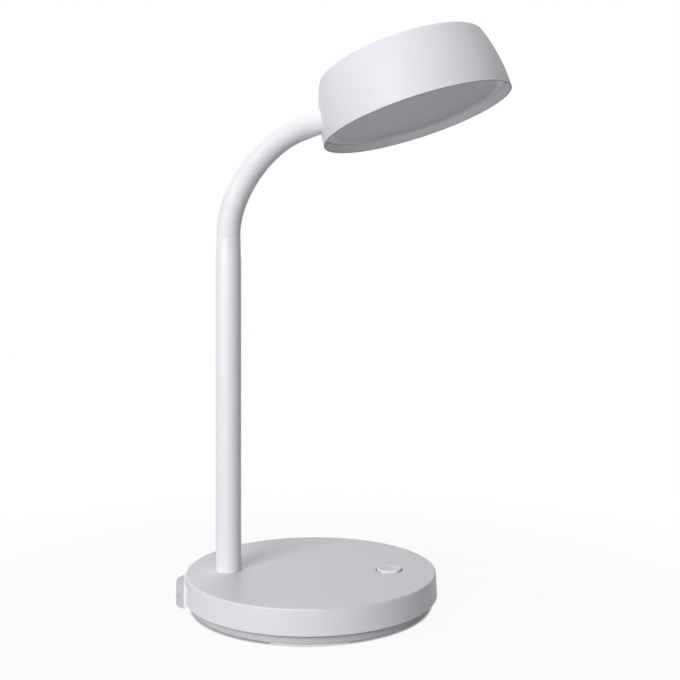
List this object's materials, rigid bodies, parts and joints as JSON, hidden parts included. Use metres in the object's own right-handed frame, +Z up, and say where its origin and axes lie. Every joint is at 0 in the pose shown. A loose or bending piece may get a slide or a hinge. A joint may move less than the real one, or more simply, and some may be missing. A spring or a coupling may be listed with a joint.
{
  "type": "desk lamp",
  "caption": "Desk lamp: weighted round base with a push button and cable inlet, upright tube post, flexible neck and a drum-shaped head with a recessed flat diffuser.",
  "frame": {"origin": "centre of the round base, on the surface it stands on", "axes": "+Z up along the post, +X from the post towards the lamp head and the button, +Y completes the right-handed frame"},
  "size_m": [0.2132, 0.16, 0.3631],
  "materials": {
    "shell_white": "satin moulded",
    "inlet_grey": "satin moulded",
    "post_white": "satin powder coat",
    "button_white": "satin moulded",
    "cover_grey": "fine texture",
    "foot_rubber": "matte",
    "ballast_iron": "as cast",
    "zinc_steel": "zinc plated",
    "core_steel": "drawn wire",
    "sleeve_white": "matte silicone",
    "board_green": "solder mask",
    "part_black": "moulded",
    "part_green": "moulded",
    "bare_aluminium": "pressed",
    "led_board_white": "white solder mask",
    "led_yellow": "phosphor",
    "reflector_white": "matte white",
    "diffuser_opal": "opal satin",
    "lead_grey": "PVC",
    "plug_nylon": "natural nylon"
  },
  "bodies": {
    "base": {"base_shell": "shell_white", "base_cover": "cover_grey", "foot_pads": "foot_rubber", "ballast_plate": "ballast_iron", "ballast_screws": "zinc_steel", "cover_screws": "zinc_steel", "cable_inlet": "inlet_grey", "cord_clamp": "cover_grey", "cord_clamp_screws": "zinc_steel", "control_board": "board_green", "board_screws": "zinc_steel", "switch_body": "part_black", "inductor": "part_black", "capacitor": "bare_aluminium", "terminal_block": "part_green", "lamp_lead": "lead_grey", "post_tube": "post_white", "post_flange": "zinc_steel", "post_flange_screws": "zinc_steel", "neck_plug": "plug_nylon", "neck_sleeve_00": "sleeve_white", "neck_core_00": "core_steel"},
    "button": {"push_button": "button_white", "switch_plunger": "plug_nylon"},
    "neck_link_1": {"neck_sleeve_01": "sleeve_white", "neck_core_01": "core_steel"},
    "neck_link_2": {"neck_sleeve_02": "sleeve_white", "neck_core_02": "core_steel"},
    "neck_link_3": {"neck_sleeve_03": "sleeve_white", "neck_core_03": "core_steel"},
    "neck_link_4": {"neck_sleeve_04": "sleeve_white", "neck_core_04": "core_steel"},
    "neck_link_5": {"neck_sleeve_05": "sleeve_white", "neck_core_05": "core_steel"},
    "neck_link_6": {"neck_sleeve_06": "sleeve_white", "neck_core_06": "core_steel"},
    "neck_link_7": {"neck_sleeve_07": "sleeve_white", "neck_core_07": "core_steel"},
    "neck_link_8": {"neck_sleeve_08": "sleeve_white", "neck_core_08": "core_steel"},
    "neck_link_9": {"neck_sleeve_09": "sleeve_white", "neck_core_09": "core_steel"},
    "head": {"neck_sleeve_10": "sleeve_white", "neck_core_10": "core_steel", "neck_nut": "zinc_steel", "head_shell": "shell_white", "heat_spreader": "bare_aluminium", "led_board": "led_board_white", "led_chips": "led_yellow", "reflector": "reflector_white", "diffuser": "diffuser_opal", "head_screws": "zinc_steel", "led_lead": "lead_grey"}
  },
  "joints": [
    {"name": "neck_bend_1", "type": "hinge", "parent": "base", "child": "neck_link_1", "pos_m": [-0.0527, 0, 0.238], "axis": [0, 1, 0], "range_deg": [-13.7, 9]},
    {"name": "neck_sway_1", "type": "hinge", "parent": "neck_link_1", "child": "neck_link_2", "pos_m": [-0.05132, 0, 0.24651], "axis": [0.9745, 0, -0.2246], "range_deg": [-11, 11]},
    {"name": "neck_bend_2", "type": "hinge", "parent": "neck_link_2", "child": "neck_link_3", "pos_m": [-0.04884, 0, 0.25477], "axis": [0, 1, 0], "range_deg": [-13.7, 9]},
    {"name": "neck_sway_2", "type": "hinge", "parent": "neck_link_3", "child": "neck_link_4", "pos_m": [-0.04545, 0, 0.2627], "axis": [0.8995, 0, -0.437], "range_deg": [-11, 11]},
    {"name": "neck_bend_3", "type": "hinge", "parent": "neck_link_4", "child": "neck_link_5", "pos_m": [-0.04131, 0, 0.27026], "axis": [0, 1, 0], "range_deg": [-13.7, 9]},
    {"name": "neck_sway_3", "type": "hinge", "parent": "neck_link_5", "child": "neck_link_6", "pos_m": [-0.03651, 0, 0.27742], "axis": [0.8046, 0, -0.5938], "range_deg": [-11, 11]},
    {"name": "neck_bend_4", "type": "hinge", "parent": "neck_link_6", "child": "neck_link_7", "pos_m": [-0.03108, 0, 0.28412], "axis": [0, 1, 0], "range_deg": [-13.7, 9]},
    {"name": "neck_sway_4", "type": "hinge", "parent": "neck_link_7", "child": "neck_link_8", "pos_m": [-0.02503, 0, 0.29026], "axis": [0.6724, 0, -0.7402], "range_deg": [-11, 11]},
    {"name": "neck_bend_5", "type": "hinge", "parent": "neck_link_8", "child": "neck_link_9", "pos_m": [-0.01833, 0, 0.2957], "axis": [0, 1, 0], "range_deg": [-13.7, 9]},
    {"name": "neck_sway_5", "type": "hinge", "parent": "neck_link_9", "child": "head", "pos_m": [-0.01098, 0, 0.3002], "axis": [0.4524, 0, -0.8918], "range_deg": [-11, 11]},
    {"name": "button_press", "type": "slide", "parent": "base", "child": "button", "axis": [0, 0, -1], "range_m": [0, 0.0015], "stiffness_N_per_m": 500, "springref_m": -0.001}
  ],
  "couplings": [
    {"joint": "neck_bend_2", "follows": "neck_bend_1", "ratio": 1},
    {"joint": "neck_bend_3", "follows": "neck_bend_1", "ratio": 1},
    {"joint": "neck_bend_5", "follows": "neck_bend_4", "ratio": 1},
    {"joint": "neck_sway_2", "follows": "neck_sway_1", "ratio": 1},
    {"joint": "neck_sway_3", "follows": "neck_sway_1", "ratio": 1},
    {"joint": "neck_sway_5", "follows": "neck_sway_4", "ratio": 1}
  ]
}
